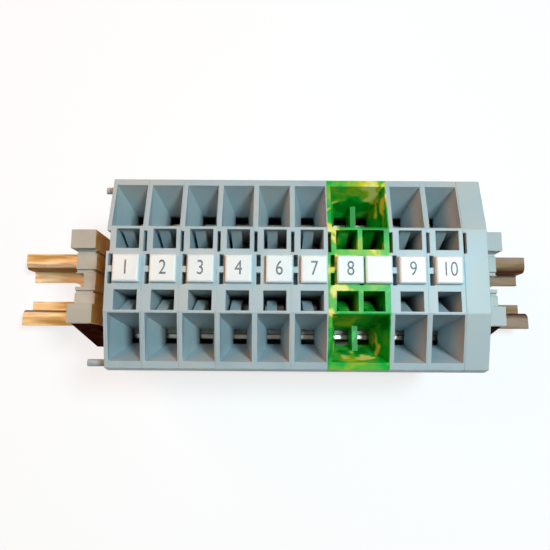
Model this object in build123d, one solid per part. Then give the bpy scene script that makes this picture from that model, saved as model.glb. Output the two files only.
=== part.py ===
from build123d import *
import os

# A terminal strip on a cut length of mini top-hat rail: eight cage-clamp terminal blocks and a double
# earth block, each with its current bar and springs, an end plate, marker tags and two end stops.
# X runs along the rail, Y across it, Z from the back of the rail to the wiring side. The origin is the
# middle of the rail, on its back. All sizes are in millimetres.

# Fits
slide_gap = 0.1
peg_gap = 0.1

# Rail: 15 mm wide, with fixing slots. It was cut through a slot at both ends.
rail_length = 105.0
rail_width = 15.0
rail_height = 5.5
rail_gauge = 1.0
rail_channel = 10.5
rail_bend = 0.4
slot_length = 12.2
slot_width = 4.2
slot_pitch = 20.0
first_slot = 4.5

# Row of blocks, from left to right, each given by its width
strip_start = -27.5
grey_width = 6.0
earth_width = 10.0
end_plate_width = 4.0
left_count = 6
right_count = 2

# Outline of a block, seen along the rail. Heights are over the face of the rail's flanges.
front_height = 26.5
plateau_half = 6.9
front_half = 15.85
front_fall = 2.4
end_lean = 0.4
lean_depth = 2.0
shoulder_height = 8.0
wing_height = 4.0
wing_half = 11.5

# Foot that clips on the rail
claw_wall = 1.5
claw_reach = 1.4
claw_lip = 0.8
claw_lead = 0.7
leg_wall = 1.45
leg_slit = 0.55
leg_root = 5.7
leg_reach = 0.9
release_lug = 2.3
lug_wall = 1.0

# Moulding
side_wall = 0.9
foot_pocket_wall = 1.1
foot_pocket_rib = 1.2

# Wire funnel: the mouth's walls are given at the front face, the throat at its floor
mouth_left = 0.65
mouth_right = 0.2
mouth_inner = 7.1
mouth_rim = 1.1
funnel_depth = 10.5
throat_width = 2.4
throat_inner = 9.0
throat_length = 2.6
throat_floor = 0.8
earth_ridge_depth = 7.4
earth_crest = 1.0

# Screwdriver hole with its ramp
driver_left = 1.55
driver_right = 0.7
driver_inner = 3.4
driver_length = 3.25
driver_rib = 0.8
earth_driver_shift = 0.2
ramp_left = 0.55
ramp_width = 1.7
ramp_top = 1.2
ramp_depth = 6.8
ramp_rise = 2.4

# Clamp chamber behind the funnels
chamber_depth = 8.1
chamber_inner = 2.9
chamber_outer = 12.9

# Current bar, a bent copper strip with a tongue at each clamp
bar_gauge = 0.9
bar_width = 3.6
bar_bend = 0.3
tongue_width = 2.2
tongue_height = 2.3

# Cage-clamp spring
clamp_left = 1.55
spring_gauge = 0.4
spring_width = 3.5
spring_spacing = 0.2
spring_drop = 1.2
spring_bend = 1.4
spring_loop = 0.49
spring_nose = 0.25
window_width = 2.5
spring_end = 1.05
spring_lip = 1.0

# Contact that ties the earth block's bar to the rail
contact_gauge = 0.8
contact_width = 4.6
contact_bend = 0.25
contact_reach = 1.1

# Pegs that line the blocks up, and their holes
peg_radius = 0.6
upper_peg = 2.4
lower_peg = 4.0
peg_inset = 1.2
peg_height = 20.0

# Slots at the middle of the front: jumper slots, tag groove and side relief
jumper_left = 0.4
jumper_width = 0.7
jumper_half = 2.45
jumper_bridge = 0.5
jumper_depth = 2.6
groove_left = 1.9
groove_width = 3.4
earth_groove_width = 3.0
groove_half = 1.95
groove_depth = 2.0
relief_depth = 0.55
relief_inner = 2.9
relief_length = 3.4
relief_drop = 2.8

# Marker tags
tag_width = 4.3
tag_length = 4.5
tag_height = 1.1
tag_edge = 0.25
tag_tongue_width = 2.2
tag_tongue_depth = 1.8
tag_left = 1.35
earth_tag_step = 4.6
tag_slips = [0, -0.05, 0, 0.1, 0.6, 0.2, 0, 0, 0, -0.15]

# End plate
plate_wall = 1.0
plate_rib = 0.9
peg_boss = 0.6

# End stops
left_stop_width = 4.4
right_stop_width = 5.5
stop_height = 19.0
stop_half = 8.3
stop_block = 3.4
stop_sink = 1.2
stop_inset = 0.8
stop_groove = 0.5
stop_groove_places = [4.45, 1.05, -2.7]
stop_notch_depth = 2.2
stop_notch_width = 2.4
stop_notch_middle = -0.6
stop_notch_drop = 6.5
left_stop_gap = 4.3

# Levels and places that follow from the sizes above
seat = rail_height
flange_back = rail_height - rail_gauge
front = seat + front_height
front_end = front - front_fall
end_half = front_half + end_lean
shoulder = seat + shoulder_height
wing = seat + wing_height
throat_level = front - funnel_depth
chamber_top = throat_level - throat_floor
chamber_floor = chamber_top - chamber_depth
throat_outer = throat_inner + throat_length
bar_top = chamber_floor + bar_gauge
tongue_inner = throat_inner - 0.15
driver_outer = driver_inner + driver_length
flange_edge = rail_width / 2
claw_outer = flange_edge + slide_gap + claw_wall
leg_outer = flange_edge + slide_gap + leg_wall
peg_place = front_half + end_lean - peg_inset
peg_level = seat + peg_height


def prism(points, start, width):
    """A solid with an outline in Y and Z, from x = start, width long along X."""
    outline = make_face(Plane.YZ.offset(start) * Polyline(*points, close=True))
    return extrude(outline, width, dir=(1, 0, 0))


def block(x, y, z):
    """A rectangular solid between two corners, given as pairs along each axis."""
    middle = Pos((x[0] + x[1]) / 2, (y[0] + y[1]) / 2, (z[0] + z[1]) / 2)
    return middle * Box(x[1] - x[0], y[1] - y[0], z[1] - z[0])


def both_sides(solid):
    """A solid and its mirror image across the rail's middle."""
    return solid + mirror(solid, about=Plane.XZ)


def strip(path, middle, width, gauge):
    """Sheet metal bent along a path in the Y-Z plane, width wide about x = middle."""
    path = Pos(middle, 0, 0) * path
    section = Plane(origin=path @ 0, x_dir=(1, 0, 0), z_dir=path % 0) * Rectangle(width, gauge)
    return sweep(section, path)


def bent(*points, radius):
    """A path through points in the Y-Z plane, with rounded corners."""
    return Plane.YZ * FilletPolyline(*points, radius=radius)


def top_hat_rail():
    """The rail: one folded strip with a row of slots."""
    lip = flange_edge
    wall = (rail_channel - rail_gauge) / 2
    low = rail_gauge / 2
    high = seat - rail_gauge / 2
    points = [(-lip, high), (-wall, high), (-wall, low), (wall, low), (wall, high), (lip, high)]
    body = strip(bent(*points, radius=rail_bend + rail_gauge / 2), 0, rail_length, rail_gauge)
    hole = extrude(SlotOverall(slot_length, slot_width), 2 * rail_gauge, both=True)
    left_end = -rail_length / 2
    for number in range(int((rail_length - first_slot) / slot_pitch) + 1):
        body -= Pos(left_end + first_slot + number * slot_pitch, 0, 0) * hole
    return body


def foot_points():
    """The clip under a block, from the fixed claw at +Y round to the snap leg at -Y."""
    under = flange_back - slide_gap
    edge = flange_edge + slide_gap
    bottom = under - claw_lip - claw_lead
    claw = [
        (claw_outer, wing),
        (claw_outer, bottom),
        (edge - claw_reach + claw_lead, bottom),
        (edge - claw_reach, bottom + claw_lead),
        (edge - claw_reach, under),
        (edge, under),
        (edge, seat),
    ]
    leg = [
        (leg_slit - edge, seat),
        (leg_slit - edge, seat + leg_root),
        (-edge, seat + leg_root),
        (-edge, under),
        (leg_reach - edge, under),
        (leg_reach - edge, under - claw_lip),
        (-edge - slide_gap, bottom),
        (-leg_outer - release_lug, bottom),
        (-leg_outer - release_lug, bottom + lug_wall),
        (-leg_outer, bottom + 2 * lug_wall),
        (-leg_outer, wing),
    ]
    return claw + leg


def upper_points():
    """The body of a block above its foot, from the -Y wing over the front to the +Y wing."""
    right = [
        (plateau_half, front),
        (front_half, front_end),
        (end_half, front_end - lean_depth),
        (end_half, shoulder),
        (wing_half, wing),
    ]
    left = [(-y, z) for y, z in reversed(right)]
    return left + right


def tapered(low, high):
    """A solid with flat sloping sides between two rectangles, each given by its X and Y range and height."""
    (low_x, low_y, bottom), (high_x, high_y, top) = low, high
    along = [(low_y[0], bottom), (low_y[1], bottom), (high_y[1], top), (high_y[0], top)]
    across = [(low_x[0], bottom), (low_x[1], bottom), (high_x[1], top), (high_x[0], top)]
    face = make_face(Plane.XZ * Polyline(*across, close=True))
    return prism(along, high_x[0], high_x[1] - high_x[0]) & extrude(face, high_y[1], both=True)


def funnel(left, right, throats):
    """What is cut away on the +Y side for the wires: one mouth over one or two throats."""
    fall = front_fall / (front_half - plateau_half)
    rim = front_half - mouth_rim
    rim_level = front - fall * (rim - plateau_half)
    slope = (rim - throat_outer) / (rim_level - throat_level)

    def level(height, x_range):
        rise = height - throat_level
        inner = throat_inner + (mouth_inner - throat_inner) * rise / funnel_depth
        return x_range, (inner, throat_outer + slope * rise), height

    narrow = [(x - throat_width / 2, x + throat_width / 2) for x in throats]
    straight = level(front_end, (left, right))
    cut = tapered(straight, level(front, (left, right)))
    if len(throats) == 1:
        cut += tapered(level(throat_level, narrow[0]), straight)
    else:
        ridge = front - earth_ridge_depth
        share = (ridge - throat_level) / (front_end - throat_level)
        wide = (narrow[0][0] + (left - narrow[0][0]) * share, narrow[-1][1] + (right - narrow[-1][1]) * share)
        middle = (narrow[0][1] + narrow[-1][0]) / 2
        crest = earth_crest / 2
        cut += tapered(level(ridge, wide), straight)
        cut += tapered(level(throat_level, narrow[0]), level(ridge, (wide[0], middle - crest)))
        cut += tapered(level(throat_level, narrow[-1]), level(ridge, (middle + crest, wide[1])))
    for x_range in narrow:
        cut += block(x_range, (throat_inner, throat_outer), (chamber_top, throat_level))
    return cut


def driver_hole(left, right):
    """The rectangular hole for the screwdriver on the +Y side, with a narrow ramp on its outer wall."""
    hole = block((left, right), (driver_inner, driver_outer), (chamber_top, front))
    points = [
        (driver_outer, chamber_top),
        (driver_outer, front - ramp_top),
        (driver_outer - ramp_rise, front - ramp_depth),
        (driver_outer - ramp_rise, chamber_top),
    ]
    return hole - prism(points, left + ramp_left, ramp_width)


def side_relief():
    """The shallow recess at the left edge of the front, beside the screwdriver hole."""
    return block((0, relief_depth), (relief_inner, relief_inner + relief_length), (front - relief_drop, front))


def front_slots(tags, groove):
    """Jumper slots, tag grooves and the relief at the left face of a block."""
    cuts = side_relief()
    for place in range(tags):
        x = place * earth_tag_step
        slot = (x + jumper_left, x + jumper_left + jumper_width)
        seat_x = (x + groove_left, x + groove_left + groove)
        cuts += both_sides(block(slot, (jumper_bridge, jumper_half), (front - jumper_depth, front)))
        cuts += block(seat_x, (-groove_half, groove_half), (front - groove_depth, front))
    return cuts


def chambers(width):
    """The spaces behind the front, open on the right: two clamp chambers joined by the bar's channel."""
    side = block((side_wall, width), (chamber_inner, chamber_outer), (chamber_floor, chamber_top))
    rib = foot_pocket_rib / 2
    inner = flange_edge - foot_pocket_wall
    low = seat + foot_pocket_wall
    pocket = block((side_wall, width), (rib, inner), (low, chamber_floor - foot_pocket_wall))
    channel = block((side_wall, width), (-chamber_inner, chamber_inner), (chamber_floor, bar_top + slide_gap))
    return both_sides(side + pocket) + channel


def pegs(radius, start, ends):
    """Round pegs, or the holes for them, from x = start to the end given for the upper and the lower one."""
    circle = Plane.YZ.offset(start) * Circle(radius)
    upper, lower = [extrude(circle, abs(end - start), dir=(end - start, 0, 0)) for end in ends]
    return Pos(0, peg_place, peg_level) * upper + Pos(0, -peg_place, peg_level) * lower


def clamp_places(count):
    """Where the middles of the springs lie, from the left face of a block."""
    first = clamp_left + spring_width / 2
    return [first + number * (spring_width + spring_spacing) for number in range(count)]


def housing(width, count, shift, groove):
    """The moulded body of a block with one or two clamps on each side."""
    body = prism(upper_points() + foot_points(), 0, width)
    cuts = funnel(mouth_left, width - mouth_right, clamp_places(count))
    hole = (width - driver_left - driver_right - driver_rib * (count - 1)) / count
    for number in range(count):
        left = driver_left - shift + number * (hole + driver_rib)
        cuts += driver_hole(left, left + hole)
    body -= both_sides(cuts)
    body -= chambers(width)
    body -= front_slots(count, groove)
    body += pegs(peg_radius, side_wall, (-upper_peg, -lower_peg))
    body -= pegs(peg_radius + peg_gap, width, (width - upper_peg - peg_gap, width - lower_peg - peg_gap))
    return body


def earth_housing():
    """The double block, with a gap in its foot through which its contact reaches the rail."""
    reach = contact_width / 2 + slide_gap
    middle = earth_width / 2
    outer = leg_outer + release_lug
    gap = block((middle - reach, middle + reach), (-outer, outer), (0, chamber_floor))
    return housing(earth_width, 2, earth_driver_shift, earth_groove_width) - gap


def current_bar(count):
    """The copper bar of a block, with a narrow tongue standing up in each spring's window."""
    middle = tongue_inner + bar_gauge / 2
    low = chamber_floor + bar_gauge / 2
    top = chamber_top - slide_gap
    places = clamp_places(count)
    spread = places[-1] - places[0]
    path = bent((-middle, top), (-middle, low), (middle, low), (middle, top), radius=bar_bend + bar_gauge / 2)
    bar = strip(path, places[0] + spread / 2, bar_width + spread, bar_gauge)
    edges = [-bar_width] + [x for place in places for x in (place - tongue_width / 2, place + tongue_width / 2)]
    edges.append(places[-1] + bar_width)
    thickness = (tongue_inner - bar_gauge, tongue_inner + 2 * bar_gauge)
    for left, right in zip(edges[::2], edges[1::2]):
        bar -= both_sides(block((left, right), thickness, (top - tongue_height, top)))
    return bar


def spring(middle):
    """A cage-clamp spring on the +Y side: a loop whose top leaf has a window for tongue and wire."""
    half = spring_gauge / 2
    leg = tongue_inner - half
    flank = chamber_inner + spring_spacing + half
    low = bar_top + spring_spacing + half
    top = chamber_top - spring_drop
    window_end = tongue_inner + bar_gauge + slide_gap
    tip = window_end + spring_end - half
    loop = spring_loop * (leg - flank)
    points = [(leg, top - spring_bend), (leg, low), (flank, low), (flank, top), (tip, top), (tip, top - spring_lip)]
    leaf = strip(bent(*points, radius=[loop, loop, spring_bend, spring_nose]), middle, spring_width, spring_gauge)
    window_x = (middle - window_width / 2, middle + window_width / 2)
    return leaf - block(window_x, (tongue_inner - slide_gap, window_end), (top - spring_gauge, top + spring_gauge))


def rail_contact():
    """The clip of the earth block: it lies under the bar and grips the rail behind both flanges."""
    half = contact_gauge / 2
    side = flange_edge + slide_gap + half
    low = flange_back - slide_gap - half
    high = chamber_floor - half
    lip = flange_edge - contact_reach
    points = [(-lip, low), (-side, low), (-side, high), (side, high), (side, low), (lip, low)]
    path = bent(*points, radius=contact_bend + half)
    return strip(path, earth_width / 2, contact_width, contact_gauge)


def end_plate():
    """The plate that closes the open side of the last block: a shell with ribs and two pegs."""
    body = prism(upper_points(), 0, end_plate_width)
    shell = offset(body, amount=-plate_wall, openings=body.faces().sort_by(Axis.X)[0])
    inside = end_plate_width - plate_wall
    depth = (0, inside)
    ribs = block(depth, (-plate_rib / 2, plate_rib / 2), (wing + plate_wall, front - plate_wall))
    ribs += both_sides(block(depth, (wing_half - plate_rib, wing_half), (wing + plate_wall, front_end - plate_wall)))
    bosses = pegs(peg_radius + peg_boss, 0, (inside, inside))
    return shell + ribs + bosses + pegs(peg_radius, inside, (-upper_peg, -lower_peg)) - side_relief()


def end_stop(width):
    """The left end stop: a narrow body with the same foot, stepped and grooved at its front."""
    top = seat + stop_height
    step = top - stop_sink
    inner = stop_half - stop_block
    upper = [
        (-stop_half, wing + leg_outer - stop_half),
        (-stop_half, top),
        (-inner, top),
        (-inner, step),
        (inner, step),
        (inner, top),
        (stop_half, top),
        (stop_half, wing + claw_outer - stop_half),
    ]
    body = prism(upper + foot_points(), 0, width)
    body -= block((0, stop_inset), (-inner, inner), (shoulder, step))
    low = stop_notch_middle - stop_notch_width / 2
    notch = (low, low + stop_notch_width)
    body -= block((0, stop_notch_depth), notch, (top - stop_notch_drop, step))
    for place in stop_groove_places:
        groove = (place - stop_groove / 2, place + stop_groove / 2)
        body -= block((0, width), groove, (step - stop_groove, step))
        body -= block((width - stop_groove, width), groove, (shoulder, step))
    return body


def tag():
    """A marker tag: a plate on the front of the block, with a tongue in the groove."""
    plate = block((0, tag_width), (-tag_length / 2, tag_length / 2), (front, front + tag_height))
    plate = chamfer(plate.faces().sort_by(Axis.Z)[-1].edges(), tag_edge)
    middle = tag_width / 2
    tongue_x = (middle - tag_tongue_width / 2, middle + tag_tongue_width / 2)
    tongue_y = (slide_gap - groove_half, groove_half - slide_gap)
    return plate + block(tongue_x, tongue_y, (front - tag_tongue_depth, front))


def save(solid, name, x=0):
    """Write one node, moved along the rail to its place."""
    export_step(Pos(x, 0, 0) * solid, f"parts/{name}.step")


def save_clamps(name, x, count):
    """Write the bar and the springs of one block."""
    save(current_bar(count), f"{name}_bar", x)
    for number, middle in enumerate(clamp_places(count), start=1):
        suffix = f"_{number}" if count > 1 else ""
        upper = spring(middle)
        save(upper, f"{name}_spring_upper{suffix}", x)
        save(mirror(upper, about=Plane.XZ), f"{name}_spring_lower{suffix}", x)


os.makedirs("parts", exist_ok=True)
save(top_hat_rail(), "rail")

grey = housing(grey_width, 1, 0, groove_width)
tag_places = []
x = strip_start
for place in range(left_count + 1 + right_count):
    if place == left_count:
        save(earth_housing(), "earth_housing", x)
        save(rail_contact(), "earth_rail_contact", x)
        save_clamps("earth", x, 2)
        tag_places += [x, x + earth_tag_step]
        x += earth_width
    else:
        number = place + 1 if place < left_count else place
        save(grey, f"block_{number}_housing", x)
        save_clamps(f"block_{number}", x, 1)
        tag_places.append(x)
        x += grey_width

save(end_plate(), "end_plate", x)
right_stop = mirror(end_stop(right_stop_width), about=Plane.YZ)
save(right_stop, "end_stop_right", x + end_plate_width + right_stop_width)
save(end_stop(left_stop_width), "end_stop_left", strip_start - left_stop_gap - left_stop_width)

marker = tag()
for number, (place, slip) in enumerate(zip(tag_places, tag_slips), start=1):
    save(marker, f"tag_{number}", place + tag_left + slip)
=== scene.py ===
import bpy
import bmesh
import math
from mathutils import Vector, Matrix


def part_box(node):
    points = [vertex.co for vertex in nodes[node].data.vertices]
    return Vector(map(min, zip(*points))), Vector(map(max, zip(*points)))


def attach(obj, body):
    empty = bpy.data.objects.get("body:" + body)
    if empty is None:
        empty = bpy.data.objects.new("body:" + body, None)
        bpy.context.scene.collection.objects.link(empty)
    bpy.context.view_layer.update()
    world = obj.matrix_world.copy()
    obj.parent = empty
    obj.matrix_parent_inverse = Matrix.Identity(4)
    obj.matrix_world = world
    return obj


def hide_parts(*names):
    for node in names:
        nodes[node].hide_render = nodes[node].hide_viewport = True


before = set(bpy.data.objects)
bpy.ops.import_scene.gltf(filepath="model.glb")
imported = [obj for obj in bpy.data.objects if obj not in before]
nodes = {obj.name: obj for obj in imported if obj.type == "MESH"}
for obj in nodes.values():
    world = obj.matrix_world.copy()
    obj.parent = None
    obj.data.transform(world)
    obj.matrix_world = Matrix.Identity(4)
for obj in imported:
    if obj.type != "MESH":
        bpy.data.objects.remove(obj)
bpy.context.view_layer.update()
mm = 0.001
print("frame:", len(nodes), "nodes")

scene = bpy.context.scene
scene.view_settings.view_transform = "Standard"
white = (1, 1, 1, 1)


# colour and nodes
def linear(hexColour):
    # sRGB hex to the linear colour that the shaders use
    parts = [int(hexColour[i : i + 2], 16) / 255 for i in (1, 3, 5)]
    return [c / 12.92 if c <= 0.04045 else ((c + 0.055) / 1.055) ** 2.4 for c in parts] + [1.0]


def addNode(tree, kind, inputs=None, **settings):
    node = tree.nodes.new(kind)
    for name, value in settings.items():
        setattr(node, name, value)
    for name, value in (inputs or {}).items():
        if isinstance(value, bpy.types.NodeSocket):
            tree.links.new(value, node.inputs[name])
        else:
            node.inputs[name].default_value = value
    return node


def setStops(ramp, stops):
    # stops: place on the ramp and its colour
    elements = ramp.color_ramp.elements
    while len(elements) < len(stops):
        elements.new(0.5)
    for element, (place, colour) in zip(elements, stops):
        element.position = place
        element.color = colour


def newMaterial(name, **sockets):
    material = bpy.data.materials.new(name)
    material.use_nodes = True
    tree = material.node_tree
    shader = tree.nodes["Principled BSDF"]
    for socket, value in sockets.items():
        shader.inputs[socket.replace("_", " ")].default_value = value
    return material, tree, shader


def objectPlace(tree):
    return addNode(tree, "ShaderNodeTexCoord").outputs["Object"]


def stretched(tree, place, scale):
    return addNode(tree, "ShaderNodeMapping", {"Vector": place, "Scale": scale}).outputs["Vector"]


def addNoise(tree, place, size, detail, **inputs):
    # lumps about as long as size
    sockets = {"Vector": place, "Scale": 1 / size, "Detail": detail, **inputs}
    return addNode(tree, "ShaderNodeTexNoise", sockets)


def colourRamp(tree, value, stops):
    ramp = addNode(tree, "ShaderNodeValToRGB", {"Fac": value})
    setStops(ramp, stops)
    return ramp.outputs["Color"]


def multiplied(tree, first, second):
    product = addNode(tree, "ShaderNodeVectorMath", {0: first, 1: second}, operation="MULTIPLY")
    return product.outputs["Vector"]


def addBump(tree, shader, height, strength, depth):
    bump = addNode(tree, "ShaderNodeBump", {"Height": height, "Strength": strength, "Distance": depth})
    tree.links.new(bump.outputs["Normal"], shader.inputs["Normal"])


def varyRoughness(tree, shader, value, look):
    lowest = look["roughness"] - look["smoother"]
    highest = look["roughness"] + look["rougher"]
    rough = addNode(tree, "ShaderNodeMapRange", {"Value": value, "To Min": lowest, "To Max": highest})
    tree.links.new(rough.outputs["Result"], shader.inputs["Roughness"])


# moulded plastics
greyPlastic = {
    "base": "#b4c1c6",  # light blue grey of the blocks
    "cloud": "#a9b9bf",  # flow clouds in it
    "warm": "#bcc2bf",
    "cloudSize": 9 * mm,
    "grain": 0.16 * mm,  # eroded mould surface, its size guessed
    "grainDepth": 0.03 * mm,
    "grainStrength": 0.12,
    "roughness": 0.42,
    "smoother": 0.05,  # how far the clouds take the roughness down and up
    "rougher": 0.07,
    "gloss": 0.35,
    "ior": 1.53,
}

stopPlastic = {
    **greyPlastic,
    "base": "#b7b1a6",
    "cloud": "#aca597",
    "warm": "#c2bdb3",
    "cloudSize": 7 * mm,
    "roughness": 0.45,
    "gloss": 0.4,
}

# painted shade: the right stop gets its own less blue copy of the stop plastic, toning down the key lamp's
# strong light at that end
rightStopShadedPlastic = {**stopPlastic, "base": "#c3b8b2", "cloud": "#b9afaa", "warm": "#c8beb4"}

warmBouncePlastic = {
    **greyPlastic,
    "base": "#e0a050",  # painted warm bounce light: the left stop's side that faces the blocks is amber
    "cloud": "#c8883c",
    "warm": "#e8b068",
    "cloudSize": 4 * mm,
    "roughness": 0.5,
    "gloss": 0.15,
}

webShadePlastic = {
    **greyPlastic,
    "base": "#4a1c0e",  # painted shade: the web under a stop is coloured dark red brown
    "cloud": "#30100a",
    "warm": "#5a2c16",
    "cloudSize": 3 * mm,
    "roughness": 0.9,
    "gloss": 0.1,
    "ior": 1.08,  # hardly shines even at a low angle, so the painted shade stays dark
}

tagPlastic = {
    **greyPlastic,
    "base": "#f4f5f4",
    "cloud": "#eef1f2",
    "warm": "#f6f5f1",
    "cloudSize": 5 * mm,
    "grain": 0.12 * mm,
    "roughness": 0.38,
    "gloss": 0.5,
}


def mouldedPolyamide(name, look):
    # moulded polyamide: satin, with a fine eroded grain and faint flow clouds
    material, tree, shader = newMaterial(
        name, Roughness=look["roughness"], IOR=look["ior"], Specular_IOR_Level=look["gloss"]
    )
    place = objectPlace(tree)
    clouds = addNoise(tree, place, look["cloudSize"], 3.0, Roughness=0.5, Distortion=0.6).outputs["Fac"]
    stops = [(0.32, linear(look["cloud"])), (0.5, linear(look["base"])), (0.72, linear(look["warm"]))]
    tree.links.new(colourRamp(tree, clouds, stops), shader.inputs["Base Color"])
    varyRoughness(tree, shader, clouds, look)
    grain = addNoise(tree, place, look["grain"], 2.0)
    addBump(tree, shader, grain.outputs["Fac"], look["grainStrength"], look["grainDepth"])
    return material


# green and yellow plastic of the earth block
greenYellow = {
    "deepGreen": "#00881c",
    "green": "#08b43c",
    "mixed": "#6cba34",
    "yellow": "#dccd18",
    "paleYellow": "#ebe683",
    "swirlSize": 6.25 * mm,
    "pullSize": 5 * mm,
    "pull": 10.4 * mm,  # how far the melt was dragged about, from end to end of the noise
    "grain": 0.2 * mm,
    "grainDepth": 0.03 * mm,
    "grainStrength": 0.08,
    "roughness": 0.42,
    "gloss": 0.32,
    "ior": 1.53,
    # where the melt ran yellow (above 0) or stayed green: middle and reach in mm, and how strongly
    "flow": [
        ((9.2, 8.2, 31.2), (0.9, 4.4, 2.2), 0.62),
        ((11.0, 6.9, 31.8), (3.0, 1.0, 1.6), 0.5),
        ((17.0, 7.3, 31.6), (2.6, 1.2, 1.6), -0.3),
        ((16.2, 13.7, 27.3), (2.6, 1.5, 2.8), 0.6),
        ((12.4, 13.2, 26.2), (1.9, 1.8, 3.0), -0.4),
        ((10.9, 12.6, 24.2), (1.1, 1.6, 2.4), 0.75),
        ((17.7, 11.9, 25.6), (0.9, 2.0, 2.0), 0.55),
        ((18.0, 9.6, 27.6), (1.2, 2.0, 3.4), -0.45),
        ((16.4, 15.4, 29.8), (2.8, 0.9, 1.2), 0.3),
        ((18.4, 12.0, 30.8), (0.7, 3.2, 2.0), 0.4),
        ((14.8, 3.3, 32.0), (4.8, 1.0, 1.2), 0.5),
        ((11.4, 5.8, 28.4), (1.6, 1.6, 2.6), 0.3),
        ((16.2, 5.4, 28.4), (1.9, 1.7, 3.6), -0.35),
        ((9.3, 0.6, 30.4), (0.9, 3.8, 2.4), 0.5),
        ((11.2, -2.9, 32.0), (3.0, 1.1, 1.2), 0.5),
        ((9.8, -7.0, 32.0), (1.8, 1.3, 1.4), 0.45),
        ((11.2, -8.0, 26.4), (2.6, 1.1, 3.8), 0.28),
        ((17.0, -8.0, 27.4), (2.0, 1.8, 4.4), -0.45),
        ((17.4, -12.2, 24.4), (1.0, 2.2, 3.0), 0.6),
        ((14.5, -13.8, 27.4), (1.6, 1.2, 1.8), 0.75),
        ((11.0, -13.0, 25.1), (1.2, 1.2, 1.8), 0.7),
        ((15.8, -14.3, 28.4), (2.6, 1.1, 2.0), 0.5),
        ((9.4, -11.6, 30.0), (0.9, 3.4, 2.6), -0.35),
        ((13.4, -11.4, 24.8), (1.4, 2.8, 3.0), -0.5),
        ((13.4, 11.4, 24.6), (1.2, 2.4, 2.6), -0.45),
    ],
    "flowCore": 0.5,  # full strength up to here, as a share of the reach
    "flowEdge": 1.25,  # and nothing from here on
}


def flowPart(tree, place, middle, reach, amount, look):
    # amount inside an ellipsoid, fading to nothing at its edge
    scale = [1 / (r * mm) for r in reach]
    shift = [-m * mm * k for m, k in zip(middle, scale)]
    near = addNode(tree, "ShaderNodeVectorMath", {0: place, 1: scale, 2: shift}, operation="MULTIPLY_ADD")
    far = addNode(tree, "ShaderNodeVectorMath", {0: near.outputs["Vector"]}, operation="LENGTH")
    limits = {"From Min": look["flowCore"], "From Max": look["flowEdge"], "To Min": amount, "To Max": 0.0}
    part = addNode(
        tree, "ShaderNodeMapRange", {"Value": far.outputs["Value"], **limits}, interpolation_type="SMOOTHSTEP"
    )
    return part.outputs["Result"]


def marbledPolyamide(name, look):
    # green polyamide with yellow swirls that did not mix in the mould
    material, tree, shader = newMaterial(
        name, Roughness=look["roughness"], IOR=look["ior"], Specular_IOR_Level=look["gloss"]
    )
    place = objectPlace(tree)
    warp = addNoise(tree, place, look["pullSize"], 2.0).outputs["Color"]
    centred = addNode(tree, "ShaderNodeVectorMath", {0: warp, 1: (0.5, 0.5, 0.5)}, operation="SUBTRACT")
    pull = multiplied(tree, centred.outputs["Vector"], (look["pull"],) * 3)
    moved = addNode(tree, "ShaderNodeVectorMath", {0: place, 1: pull}).outputs["Vector"]
    yellowness = addNoise(tree, moved, look["swirlSize"], 3.0, Distortion=0.8).outputs["Fac"]
    for middle, reach, amount in look["flow"]:
        part = flowPart(tree, moved, middle, reach, amount, look)
        yellowness = addNode(tree, "ShaderNodeMath", {0: yellowness, 1: part}).outputs[0]
    stops = [
        (0.2, linear(look["deepGreen"])),
        (0.46, linear(look["green"])),
        (0.6, linear(look["mixed"])),
        (0.78, linear(look["yellow"])),
        (1.0, linear(look["paleYellow"])),
    ]
    tree.links.new(colourRamp(tree, yellowness, stops), shader.inputs["Base Color"])
    grain = addNoise(tree, place, look["grain"], 2.0)
    addBump(tree, shader, grain.outputs["Fac"], look["grainStrength"], look["grainDepth"])
    return material


# zinc-plated rail
passivatedSteel = {
    "gold": "#dccb9a",
    "olive": "#a8935c",
    "pale": "#f1e6c4",
    "pink": "#c99f80",
    "cloudSize": 1.6 * mm,
    "cloudStretch": (0.12, 1.0, 1.0),  # clouds drawn out along the rail
    "dullEnd": "#978083",  # the rail is greyer towards the right end
    "dullFrom": -20 * mm,
    "dullTo": 42 * mm,
    "bendShade": "#9a7444",  # painted shade: browner in the bends, where they turn away from the light
    "line": 0.25 * mm,  # drawing lines
    "lineStretch": (0.02, 1.0, 1.0),
    "lineDepth": 0.03 * mm,
    "lineStrength": 0.15,
    "roughness": 0.58,
    "smoother": 0.08,
    "rougher": 0.12,
}


def yellowPassivatedZinc(name, look):
    # zinc-plated steel, yellow passivated: gold with faint rainbow clouds and drawing lines along the rail
    material, tree, shader = newMaterial(name, Metallic=1.0, Roughness=look["roughness"])
    place = objectPlace(tree)
    drawnOut = stretched(tree, place, look["cloudStretch"])
    clouds = addNoise(tree, drawnOut, look["cloudSize"], 4.0).outputs["Fac"]
    stops = [
        (0.3, linear(look["olive"])),
        (0.46, linear(look["gold"])),
        (0.58, linear(look["pale"])),
        (0.72, linear(look["pink"])),
    ]
    sides = addNode(tree, "ShaderNodeSeparateXYZ", {0: place})
    along = {"Value": sides.outputs["X"], "From Min": look["dullFrom"], "From Max": look["dullTo"]}
    dull = addNode(tree, "ShaderNodeMapRange", along).outputs["Result"]
    tint = colourRamp(tree, dull, [(0.0, white), (1.0, linear(look["dullEnd"]))])
    across = {"Value": sides.outputs["Z"], "From Max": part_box("rail")[1].z}
    height = addNode(tree, "ShaderNodeMapRange", across).outputs["Result"]
    # from the channel's floor, by way of the bends, to the faces of the flanges, with painted shade browning
    # the bends
    brown = linear(look["bendShade"])
    bendShadeStops = [(0.0, white), (0.22, white), (0.45, brown), (0.9, brown), (0.97, white)]
    tinted = multiplied(tree, colourRamp(tree, clouds, stops), tint)
    bendShaded = multiplied(tree, tinted, colourRamp(tree, height, bendShadeStops))
    tree.links.new(bendShaded, shader.inputs["Base Color"])
    varyRoughness(tree, shader, clouds, look)
    lines = addNoise(tree, stretched(tree, place, look["lineStretch"]), look["line"], 2.0)
    addBump(tree, shader, lines.outputs["Fac"], look["lineStrength"], look["lineDepth"])
    return material


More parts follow.
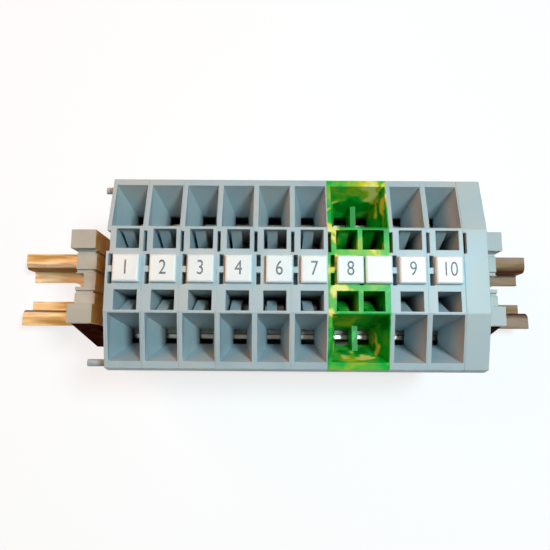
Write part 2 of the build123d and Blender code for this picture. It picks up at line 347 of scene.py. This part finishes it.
# bare strip metals
tinPlated = {
    "bright": "#99958d",
    "dark": "#5f574b",
    "roughness": 0.5,
    "tarnish": 2.5 * mm,
    "line": 0.1 * mm,
    "lineStretch": (1.0, 0.05, 0.05),
    "lineDepth": 0.02 * mm,
    "lineStrength": 0.1,
}

springStrip = {**tinPlated, "bright": "#d6d0c4", "dark": "#b3aa9a", "roughness": 0.28}


def rolledStrip(name, look):
    # strip metal cut from a roll: even shine, faint lines from the rolls and a little tarnish
    material, tree, shader = newMaterial(name, Metallic=1.0, Roughness=look["roughness"])
    place = objectPlace(tree)
    tarnish = addNoise(tree, place, look["tarnish"], 3.0).outputs["Fac"]
    colour = colourRamp(tree, tarnish, [(0.35, linear(look["dark"])), (0.6, linear(look["bright"]))])
    tree.links.new(colour, shader.inputs["Base Color"])
    lines = addNoise(tree, stretched(tree, place, look["lineStretch"]), look["line"], 2.0)
    addBump(tree, shader, lines.outputs["Fac"], look["lineStrength"], look["lineDepth"])
    return material


# printing ink
printingInk = {"dark": "#5c5d64", "pale": "#8b8c94", "spread": 0.35 * mm, "roughness": 0.55, "ior": 1.5}


def greyInk(name, look):
    # dark grey ink, thinner in places
    material, tree, shader = newMaterial(name, Roughness=look["roughness"], IOR=look["ior"])
    spread = addNoise(tree, objectPlace(tree), look["spread"], 3.0).outputs["Fac"]
    colour = colourRamp(tree, spread, [(0.35, linear(look["dark"])), (0.7, linear(look["pale"]))])
    tree.links.new(colour, shader.inputs["Base Color"])
    return material


greyPolyamide = mouldedPolyamide("moulded polyamide, blue grey", greyPlastic)
earthPolyamide = marbledPolyamide("moulded polyamide, green and yellow", greenYellow)
stopPolyamide = mouldedPolyamide("moulded polyamide, warm grey", stopPlastic)
rightStopShadedPolyamide = mouldedPolyamide("moulded polyamide, pale grey with painted shade", rightStopShadedPlastic)
warmBouncePolyamide = mouldedPolyamide("moulded polyamide, painted warm bounce light", warmBouncePlastic)
webShadePolyamide = mouldedPolyamide("moulded polyamide, painted dark brown shade", webShadePlastic)
tagPolycarbonate = mouldedPolyamide("moulded polycarbonate, white", tagPlastic)
railZinc = yellowPassivatedZinc("zinc-plated steel, yellow passivated", passivatedSteel)
barCopper = rolledStrip("copper strip, tin plated", tinPlated)
springSteel = rolledStrip("stainless spring steel", springStrip)
inkMaterial = greyInk("printing ink, dark grey", printingInk)
print("materials made")


# pieces
rounding = {
    "housing": 0.14 * mm,  # soft edges of a moulding
    "stop": 0.16 * mm,
    "tag": 0.1 * mm,
    "rail": 0.1 * mm,
    "segments": 2,
    "sharp": 9,  # degrees between two faces from which an edge is rounded
    "flat": 0.5,  # degrees under which two faces are one
    "weld": 0.001 * mm,
    "bounceFacing": 0.9,  # a face of the left stop gets the painted amber bounce light where its normal's x is over this
}


def finishPiece(piece, material):
    piece.data.materials.clear()
    piece.data.materials.append(material)
    for face in piece.data.polygons:
        face.material_index = 0
    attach(piece, "root")
    return piece


def roundedCopy(nodeName, width, material):
    # the node's own form with its edges rounded, as a moulding's or a folded strip's are
    mesh = nodes[nodeName].data.copy()
    shape = bmesh.new()
    shape.from_mesh(mesh)
    bmesh.ops.remove_doubles(shape, verts=shape.verts, dist=rounding["weld"])
    bmesh.ops.dissolve_limit(
        shape,
        angle_limit=math.radians(rounding["flat"]),
        verts=shape.verts,
        edges=shape.edges,
        use_dissolve_boundaries=False,
    )
    for face in shape.faces:
        face.smooth = True
    shape.to_mesh(mesh)
    shape.free()
    piece = bpy.data.objects.new(nodeName + "_rounded", mesh)
    scene.collection.objects.link(piece)
    bevel = piece.modifiers.new("rounded edges", "BEVEL")
    bevel.width = width
    bevel.segments = rounding["segments"]
    bevel.limit_method = "ANGLE"
    bevel.angle_limit = math.radians(rounding["sharp"])
    shading = piece.modifiers.new("even shading", "WEIGHTED_NORMAL")
    shading.mode = "FACE_AREA"
    shading.weight = 100
    finishPiece(piece, material)
    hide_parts(nodeName)
    return piece


def dress(nodeName, material):
    nodes[nodeName].data.materials.clear()
    nodes[nodeName].data.materials.append(material)


for name in sorted(nodes):
    if name == "earth_housing":
        roundedCopy(name, rounding["housing"], earthPolyamide)
    elif name.endswith("_housing") or name == "end_plate":
        roundedCopy(name, rounding["housing"], greyPolyamide)
    elif name == "end_stop_left":
        stop = roundedCopy(name, rounding["stop"], stopPolyamide)
        # the left stop's faces toward the blocks get painted warm bounce light
        stop.data.materials.append(warmBouncePolyamide)
        for face in stop.data.polygons:
            face.material_index = 1 if face.normal.x > rounding["bounceFacing"] else 0
    elif name == "end_stop_right":
        roundedCopy(name, rounding["stop"], rightStopShadedPolyamide)
    elif name.startswith("tag_"):
        roundedCopy(name, rounding["tag"], tagPolycarbonate)
    elif name == "rail":
        roundedCopy(name, rounding["rail"], railZinc)
    elif "spring" in name:
        dress(name, springSteel)
    else:
        dress(name, barCopper)
print("pieces dressed")

# end stops: the web that widens each one towards its foot
stopWeb = {
    "outline": [(-8.2, 23.4), (-11.9, 7.6), (-11.3, 4.0), (-9.0, 4.8), (-8.2, 10.4)],  # y and z in mm
    "inset": 0.25 * mm,
    "edge": 0.2 * mm,
}


def addStopWeb(stopName, material, look):
    low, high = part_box(stopName)
    mesh = bpy.data.meshes.new(stopName + "_web")
    shape = bmesh.new()
    corners = [shape.verts.new((low.x + look["inset"], y * mm, z * mm)) for y, z in look["outline"]]
    side = shape.faces.new(corners)
    grown = bmesh.ops.extrude_face_region(shape, geom=[side])
    moved = [v for v in grown["geom"] if isinstance(v, bmesh.types.BMVert)]
    bmesh.ops.translate(shape, verts=moved, vec=(high.x - low.x - 2 * look["inset"], 0, 0))
    bmesh.ops.recalc_face_normals(shape, faces=shape.faces[:])
    bmesh.ops.bevel(
        shape,
        geom=shape.edges[:],
        offset=look["edge"],
        offset_type="OFFSET",
        segments=2,
        profile=0.5,
        affect="EDGES",
        clamp_overlap=True,
        material=-1,
    )
    shape.to_mesh(mesh)
    shape.free()
    piece = bpy.data.objects.new(stopName + "_web", mesh)
    scene.collection.objects.link(piece)
    return finishPiece(piece, material)


# the webs are coloured with painted shade
for stopName in ("end_stop_left", "end_stop_right"):
    addStopWeb(stopName, webShadePolyamide, stopWeb)
print("end stops widened")

# printed numbers
printing = {
    "words": {
        "tag_1": "1",
        "tag_2": "2",
        "tag_3": "3",
        "tag_4": "4",
        "tag_5": "6",
        "tag_6": "7",
        "tag_7": "8",
        "tag_9": "9",
        "tag_10": "10",
    },
    "height": 2.4 * mm,
    "capHeight": 0.72,  # a figure's height as a share of the font's size
    "narrow": 0.78,
    "thickness": 0.02 * mm,
}


def printNumber(tagName, words, look):
    low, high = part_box(tagName)
    curve = bpy.data.curves.new(tagName + "_number", "FONT")
    curve.body = words
    curve.align_x = "CENTER"
    curve.align_y = "CENTER"
    curve.size = look["height"] / look["capHeight"]
    curve.extrude = 0
    letters = bpy.data.objects.new(tagName + "_letters", curve)
    scene.collection.objects.link(letters)
    bpy.context.view_layer.update()
    mesh = bpy.data.meshes.new_from_object(letters.evaluated_get(bpy.context.evaluated_depsgraph_get()))
    bpy.data.objects.remove(letters)
    shape = bmesh.new()
    shape.from_mesh(mesh)
    extruded = bmesh.ops.extrude_face_region(shape, geom=shape.faces[:])
    top = [v for v in extruded["geom"] if isinstance(v, bmesh.types.BMVert)]
    bmesh.ops.translate(shape, verts=top, vec=(0, 0, look["thickness"]))
    bmesh.ops.recalc_face_normals(shape, faces=shape.faces[:])
    shape.to_mesh(mesh)
    shape.free()
    middle = ((low.x + high.x) / 2, (low.y + high.y) / 2, high.z)
    mesh.transform(Matrix.Translation(middle) @ Matrix.Diagonal((look["narrow"], 1, 1, 1)))
    piece = bpy.data.objects.new(tagName + "_number", mesh)
    scene.collection.objects.link(piece)
    return finishPiece(piece, inkMaterial)


for tagName, words in printing["words"].items():
    printNumber(tagName, words, printing)
print("numbers printed")


# floor, light and camera
studio = {
    "floorSize": 2.0,
    "floorDrop": 0.05 * mm,  # keeps the floor clear of the rail's back
    "paper": "#e6e6e4",
    "shade": (0.24, 0.24, 0.24, 1),  # what the paper seen keeps of the light on it, for a faint shadow
    "glow": 0.8,
    "shadowInset": 2 * mm,  # the painted shadow's edge under the blocks lies this far inside their outline
    "shadowInner": -4 * mm,  # from that edge inwards, where the paper no longer glows
    "shadowOuter": 3 * mm,  # and outwards, where it glows in full
    "sky": "#f2f8ff",
    "skyStrength": 0.06,
    "ceiling": 0.22,  # the white backdrop fades to this overhead
    "wallTop": 0.3,  # as the height of a direction, 1 being straight up
    "ceilingStart": 0.75,
    "aim": (0, 0, 20 * mm),
    # place, size, colour and how brightly each lamp lights the fronts
    "lamps": {
        "key": ((0.11, 0.026, 0.3), 0.07, "#cdf4ff", 0.87),
        "warm front": ((-0.1, 0.04, 0.2), 0.1, "#ffb56f", 0.25),
        "warm side": ((-0.2, 0.15, 0.2), 0.1, "#ff9f59", 0.22),
    },
}


def greater(tree, first, second):
    return addNode(tree, "ShaderNodeMath", {0: first, 1: second}, operation="MAXIMUM").outputs[0]


def seenDirectly(tree):
    # 1 where the camera looks straight, or by way of a gloss or glass
    # and 0 for the light that falls on things
    path = addNode(tree, "ShaderNodeLightPath").outputs
    some = greater(tree, path["Is Camera Ray"], path["Is Glossy Ray"])
    return greater(tree, some, path["Is Transmission Ray"])


def paintedShadowUnder(tree, look):
    # no glow on the paper beneath the blocks, where the object keeps all light off it
    low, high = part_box("block_1_housing")[0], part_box("block_8_housing")[1]
    middle = (low + high) / 2
    inside = addNode(
        tree, "ShaderNodeVectorMath", {0: objectPlace(tree), 1: (middle.x, middle.y, 0)}, operation="SUBTRACT"
    )
    apart = addNode(tree, "ShaderNodeVectorMath", {0: inside.outputs["Vector"]}, operation="ABSOLUTE")
    sides = addNode(tree, "ShaderNodeSeparateXYZ", {0: apart.outputs["Vector"]})
    beyond = []
    for axis, half in (("X", (high.x - low.x) / 2), ("Y", (high.y - low.y) / 2)):
        limits = {0: sides.outputs[axis], 1: half - look["shadowInset"]}
        beyond.append(addNode(tree, "ShaderNodeMath", limits, operation="SUBTRACT").outputs[0])
    fade = {"From Min": look["shadowInner"], "From Max": look["shadowOuter"], "To Max": look["glow"]}
    return addNode(tree, "ShaderNodeMapRange", {"Value": greater(tree, *beyond), **fade}).outputs["Result"]


floorMesh = bpy.data.meshes.new("floor")
floorShape = bmesh.new()
bmesh.ops.create_grid(floorShape, x_segments=1, y_segments=1, size=studio["floorSize"] / 2)
bmesh.ops.translate(floorShape, verts=floorShape.verts, vec=(0, 0, -studio["floorDrop"]))
floorShape.to_mesh(floorMesh)
floorShape.free()
floor = bpy.data.objects.new("floor", floorMesh)
scene.collection.objects.link(floor)

floorMaterial = bpy.data.materials.new("matt white paper")
floorMaterial.use_nodes = True
floorTree = floorMaterial.node_tree
floorTree.nodes.clear()
paper = addNode(floorTree, "ShaderNodeBsdfDiffuse", {"Color": linear(studio["paper"])})
shade = addNode(floorTree, "ShaderNodeBsdfDiffuse", {"Color": studio["shade"]})
glow = addNode(floorTree, "ShaderNodeEmission", {"Color": white, "Strength": paintedShadowUnder(floorTree, studio)})
lit = addNode(floorTree, "ShaderNodeAddShader", {0: shade.outputs[0], 1: glow.outputs[0]})
floorMix = addNode(
    floorTree, "ShaderNodeMixShader", {0: seenDirectly(floorTree), 1: paper.outputs[0], 2: lit.outputs[0]}
)
addNode(floorTree, "ShaderNodeOutputMaterial", {"Surface": floorMix.outputs[0]})
floorMesh.materials.append(floorMaterial)

world = bpy.data.worlds.new("soft studio")
scene.world = world
world.use_nodes = True
worldTree = world.node_tree
worldTree.nodes.clear()
skyLight = {"Color": linear(studio["sky"]), "Strength": studio["skyStrength"]}
sky = addNode(worldTree, "ShaderNodeBackground", skyLight)
towards = addNode(worldTree, "ShaderNodeTexCoord").outputs["Generated"]
height = addNode(worldTree, "ShaderNodeSeparateXYZ", {0: towards}).outputs["Z"]
fall = {
    "Value": height,
    "From Min": studio["wallTop"],
    "From Max": studio["ceilingStart"],
    "To Min": 1.0,
    "To Max": studio["ceiling"],
}
walls = addNode(worldTree, "ShaderNodeMapRange", fall)
backdrop = addNode(worldTree, "ShaderNodeBackground", {"Color": white, "Strength": walls.outputs["Result"]})
worldMix = addNode(
    worldTree, "ShaderNodeMixShader", {0: seenDirectly(worldTree), 1: sky.outputs[0], 2: backdrop.outputs[0]}
)
addNode(worldTree, "ShaderNodeOutputWorld", {"Surface": worldMix.outputs[0]})


def addLamp(name, place, size, colour, level):
    # level 1 lights a surface that faces the lamp from the object's place about as its colour is written
    beam = Vector(studio["aim"]) - Vector(place)
    lamp = bpy.data.lights.new(name, "AREA")
    lamp.shape = "DISK"
    lamp.size = size
    lamp.energy = level * math.pi**2 * beam.length**2
    lamp.color = linear(colour)[:3]
    holder = bpy.data.objects.new(name, lamp)
    holder.location = place
    holder.rotation_euler = beam.to_track_quat("-Z", "Y").to_euler()
    scene.collection.objects.link(holder)


for lampName, (lampPlace, lampSize, lampColour, lampLevel) in studio["lamps"].items():
    addLamp(lampName, lampPlace, lampSize, lampColour, lampLevel)

view = {
    "place": (0.046 * mm, -14.897 * mm, 118.717 * mm),
    "turn": (9.1755, 0.0115, 0.4112),  # degrees
    "lens": 35.7,
    "nearest": 5 * mm,
}
cameraData = bpy.data.cameras.new("camera")
cameraData.lens = view["lens"]
cameraData.sensor_width = 36.0
cameraData.clip_start = view["nearest"]
camera = bpy.data.objects.new("camera", cameraData)
camera.location = view["place"]
camera.rotation_euler = [math.radians(angle) for angle in view["turn"]]
scene.collection.objects.link(camera)
scene.camera = camera
print("studio set")
